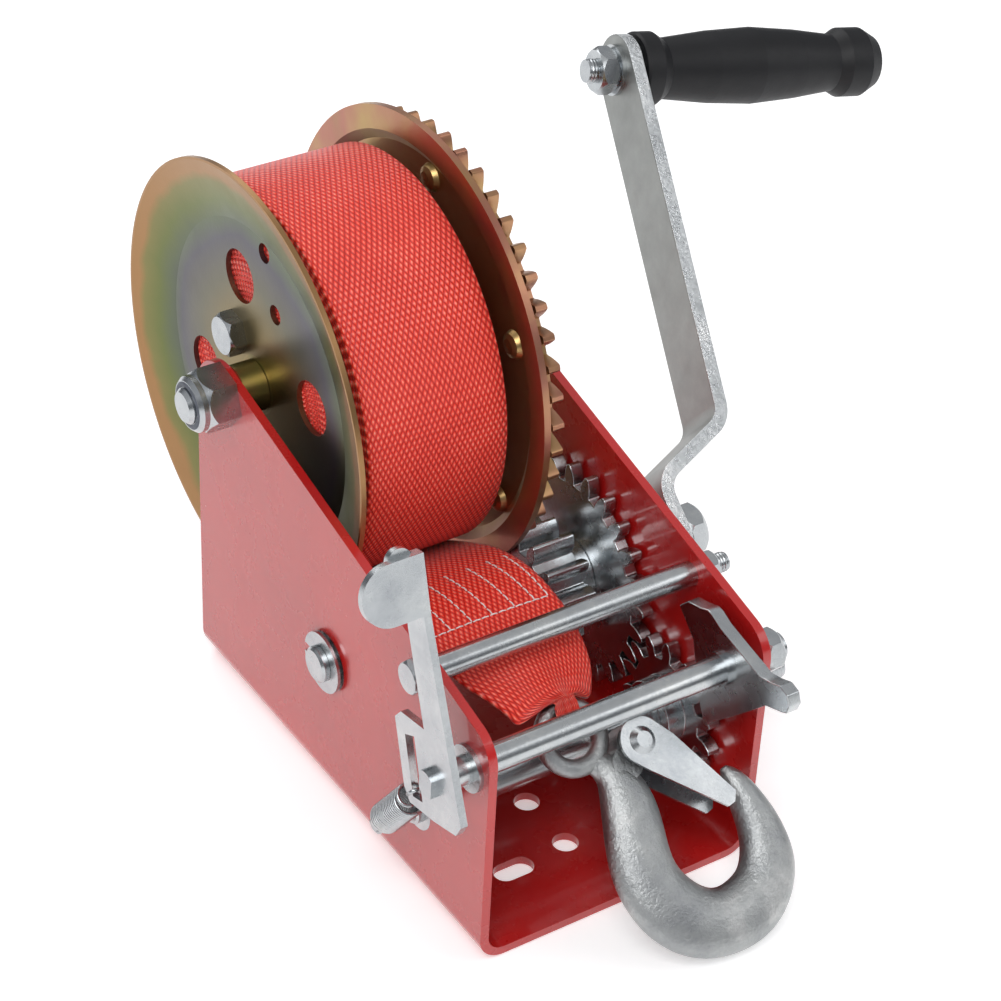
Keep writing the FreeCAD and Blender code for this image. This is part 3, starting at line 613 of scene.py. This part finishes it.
# The box stitch: y of its two ends, and its lines as shares of the half width
STITCH_FIRST, STITCH_LAST = -3.0, -28.0
STITCH_EDGE = 0.88
STITCH_SLANT = 0.06
STITCH_ROWS = (-0.82, -0.56, -0.25, 0.05, 0.38, 0.68)
STITCH_LENGTH = 3.0
# One stitch: where its three points lie in its length, and how far they stand off the webbing
STITCH_ARCH = ((0.08, 0.05), (0.5, 0.36), (0.92, 0.05))
THREAD_RADIUS = 0.24
THREAD_SIDES = 6


def place_along(route, y):
    """The place along the upper run that has this y."""
    for i in range(1, len(route)):
        if route[i][0] <= y:
            return i - (y - route[i][0]) / (route[i - 1][0] - route[i][0])
    return len(route) - 1.0


def stitching(route):
    """The stitches that hold the folded end: one row across, slanted rows and one along the edge."""
    upper = route[:ROUTE_STEPS * (len(UPPER) - 1)]
    first, last = STITCH_FIRST, STITCH_LAST
    lines = [((-STITCH_EDGE, last), (STITCH_EDGE, last))]
    lines += [((share - STITCH_SLANT, first), (share, last)) for share in STITCH_ROWS]
    lines += [((STITCH_EDGE, first), (STITCH_EDGE, last))]
    stitches = []
    for (s0, y0), (s1, y1) in lines:
        length = math.hypot((s1 - s0) * WEB_HALF, y1 - y0)
        count = max(2, int(length / STITCH_LENGTH))
        for k in range(count):
            path = []
            for part, rise in STITCH_ARCH:
                t = (k + part) / count
                place = place_along(upper, y0 + (y1 - y0) * t)
                i = min(int(place), len(upper) - 2)
                share = s0 + (s1 - s0) * t
                a = band_point(route, i, share, WEB_THICK / 2 + rise)
                b = band_point(route, i + 1, share, WEB_THICK / 2 + rise)
                path.append(a.lerp(b, place - i))
            stitches.append(path)
    return stitches


def sew(stitches):
    """Joins every stitch into one piece."""
    points, faces = [], []
    for path in stitches:
        base = len(points)
        side = frame_of(path[2] - path[0])[0]
        other = (path[2] - path[0]).normalized().cross(side)
        for here in path:
            for k in range(THREAD_SIDES):
                ring = around(side, other, 2 * math.pi * k / THREAD_SIDES)
                points.append(here + ring * THREAD_RADIUS * MM)
        shape = grid_faces(len(path), THREAD_SIDES, False, True)
        faces += [tuple(base + v for v in f) for f in shape]
    build("strap_stitching", points, faces, THREAD, "frame")


# ---------------------------------------------------------------- spring and threads

COIL_RADIUS = 4.7 * MM
COIL_PITCH = 1.38 * MM
COIL_TURNS = 17
COIL_STEPS = 20  # in one turn
COIL_START = 8.0 * MM  # from the pin
WIRE_RADIUS = 0.62 * MM
EYE_RADIUS = 2.6 * MM
EYE_STEPS = 14
LEVER_END = (-69.2 * MM, 61.2 * MM)  # y and z of the end in the lever's slot


def lever_spring():
    """One wire: an eye on the pin, close coils, and a hooked end in the lever."""
    pin = Vector(JOINTS["spring_swing"]["pos_m"])
    hook_end = Vector((pin.x, *LEVER_END))
    way = (hook_end - pin).normalized()
    out = Vector((0, -way.z, way.y))
    path = []
    for i in range(EYE_STEPS + 1):
        eye = around(-way, out, math.radians(-50 + 290 * i / EYE_STEPS)) * EYE_RADIUS
        path.append(pin + eye + X_AXIS * (i / EYE_STEPS - 0.5) * MM)
    steps = COIL_TURNS * COIL_STEPS
    for i in range(steps + 1):
        grow = min(1.0, i / 8, (steps - i) / 8)
        ring = around(out, X_AXIS, 2 * math.pi * i / COIL_STEPS) * COIL_RADIUS * (0.35 + 0.65 * grow)
        path.append(pin + way * (COIL_START + COIL_PITCH * i / COIL_STEPS) + ring)
    end = pin + way * (COIL_START + COIL_PITCH * COIL_TURNS)
    path += [end + way * 2.0 * MM,
             hook_end - way * 3.0 * MM - X_AXIS * 0.3 * MM,
             hook_end - X_AXIS * 2.5 * MM,
             hook_end - X_AXIS * 5.4 * MM + way * 0.3 * MM,
             hook_end - X_AXIS * 6.4 * MM - way * 2.0 * MM]
    spring = swept_tube("lever_spring_wire", path, WIRE_RADIUS, ZINC, "lever_spring")
    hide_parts("lever_spring")


def threads():
    low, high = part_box("tie_bolt")
    tie = (low + high) / 2
    screw_thread("tie_bolt_thread", (56.2 * MM, tie.y, tie.z), X_AXIS,
                 length=4.7 * MM, radius=3.0 * MM, pitch=1.0 * MM, body="frame")
    slow = Vector(JOINTS["low_speed_spin"]["pos_m"])
    screw_thread("low_speed_thread", (70 * MM, slow.y, slow.z), X_AXIS,
                 length=17.5 * MM, radius=5.0 * MM, pitch=1.5 * MM, body="low_speed")
    grip = Vector(JOINTS["grip_spin"]["pos_m"])
    axis = Vector(JOINTS["grip_spin"]["axis"])
    screw_thread("grip_bolt_thread", grip - axis * 14.4 * MM, axis,
                 length=3.6 * MM, radius=4.0 * MM, pitch=1.25 * MM, body="drive")


# The nylon ring's outline: how far it stands out of the nut, and its radius, in millimetres
INSERT_OUTLINE = ((0.05, 6.15), (0.25, 6.8), (0.25, 7.5), (0.02, 7.9))
INSERT_SEGMENTS = 48


def nut_insert():
    """The nylon ring in the axle's lock nut."""
    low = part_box("drum_axle_nut")[0]
    points = [round_drum(low.x - stand * MM, r * MM, 2 * math.pi * k / INSERT_SEGMENTS)
              for stand, r in INSERT_OUTLINE for k in range(INSERT_SEGMENTS)]
    faces = grid_faces(len(INSERT_OUTLINE), INSERT_SEGMENTS, False, True)
    build("axle_nut_insert", points, faces, NYLON, "frame")


# ---------------------------------------------------------------- studio

FLOOR_HALF = 6.0
FLOOR_Z = -0.0005
# Name, place, target and size in metres, power in watts
LIGHTS = (("key", (-0.9, -0.9, 1.7), (0.0, 0.0, 0.08), 1.1, 20),
          ("fill", (1.4, -1.0, 1.1), (0.0, 0.0, 0.1), 1.2, 7),
          ("back", (0.2, 1.6, 1.5), (0.0, 0.0, 0.1), 1.4, 12))
SKY_STOPS = [(0.0, (0.30, 0.31, 0.32)), (0.25, (0.20, 0.21, 0.23)), (0.6, (0.80, 0.82, 0.86)),
             (1.0, (1.0, 1.0, 1.0))]
SKY_STRENGTH = 0.6


def studio():
    floor_mesh = bpy.data.meshes.new("floor")
    corners = [(-1, -1), (1, -1), (1, 1), (-1, 1)]
    floor_mesh.from_pydata([(x * FLOOR_HALF, y * FLOOR_HALF, FLOOR_Z) for x, y in corners], [],
                           [(0, 1, 2, 3)])
    floor_mesh.materials.append(pale_floor())
    floor = bpy.data.objects.new("floor", floor_mesh)
    bpy.context.scene.collection.objects.link(floor)
    for light in LIGHTS:
        area_light(*light)
    world = bpy.data.worlds.new("studio")
    bpy.context.scene.world = world
    world.use_nodes = True
    tree = world.node_tree
    place = tree.nodes.new("ShaderNodeTexCoord")
    split = tree.nodes.new("ShaderNodeSeparateXYZ")
    tree.links.new(place.outputs["Generated"], split.inputs["Vector"])
    sky = ramp(tree, between(tree, split.outputs["Z"], low=0.0, high=1.0), SKY_STOPS)
    tree.links.new(sky, tree.nodes["Background"].inputs["Color"])
    tree.nodes["Background"].inputs["Strength"].default_value = SKY_STRENGTH
    bpy.context.scene.view_settings.view_transform = "Standard"


def area_light(name, place, target, size, power):
    data = bpy.data.lights.new(name, "AREA")
    data.size = size
    data.energy = power
    light = bpy.data.objects.new(name, data)
    light.location = place
    light.rotation_euler = (Vector(target) - Vector(place)).to_track_quat("-Z", "Y").to_euler()
    bpy.context.scene.collection.objects.link(light)


CAMERA_TURN = (-34.826, 35.589, 3.038)  # azimuth, elevation and roll in degrees
CAMERA_PLACE = (-402.3, -591.2, 611.9)  # millimetres
SENSOR_WIDTH = 36.0
LENS = 101.51


def camera():
    """The photograph's viewpoint, from a fit to the frame's outline."""
    azimuth, elevation, roll = (math.radians(v) for v in CAMERA_TURN)
    back = Vector((math.sin(azimuth) * math.cos(elevation), -math.cos(azimuth) * math.cos(elevation),
                   math.sin(elevation)))
    right = Vector((math.cos(azimuth), math.sin(azimuth), 0))
    up = back.cross(right)
    turned_right = right * math.cos(roll) + up * math.sin(roll)
    turned_up = up * math.cos(roll) - right * math.sin(roll)
    data = bpy.data.cameras.new("camera")
    data.sensor_width = SENSOR_WIDTH
    data.lens = LENS
    data.clip_start = 0.01
    shot = bpy.data.objects.new("camera", data)
    turn = Matrix((turned_right, turned_up, back)).transposed().to_4x4()
    shot.matrix_world = Matrix.Translation(Vector(CAMERA_PLACE) * MM) @ turn
    bpy.context.scene.collection.objects.link(shot)
    bpy.context.scene.camera = shot


dress_frame()
soften_edges()
strap_roll()
strap_tail()
lever_spring()
threads()
nut_insert()
studio()
camera()
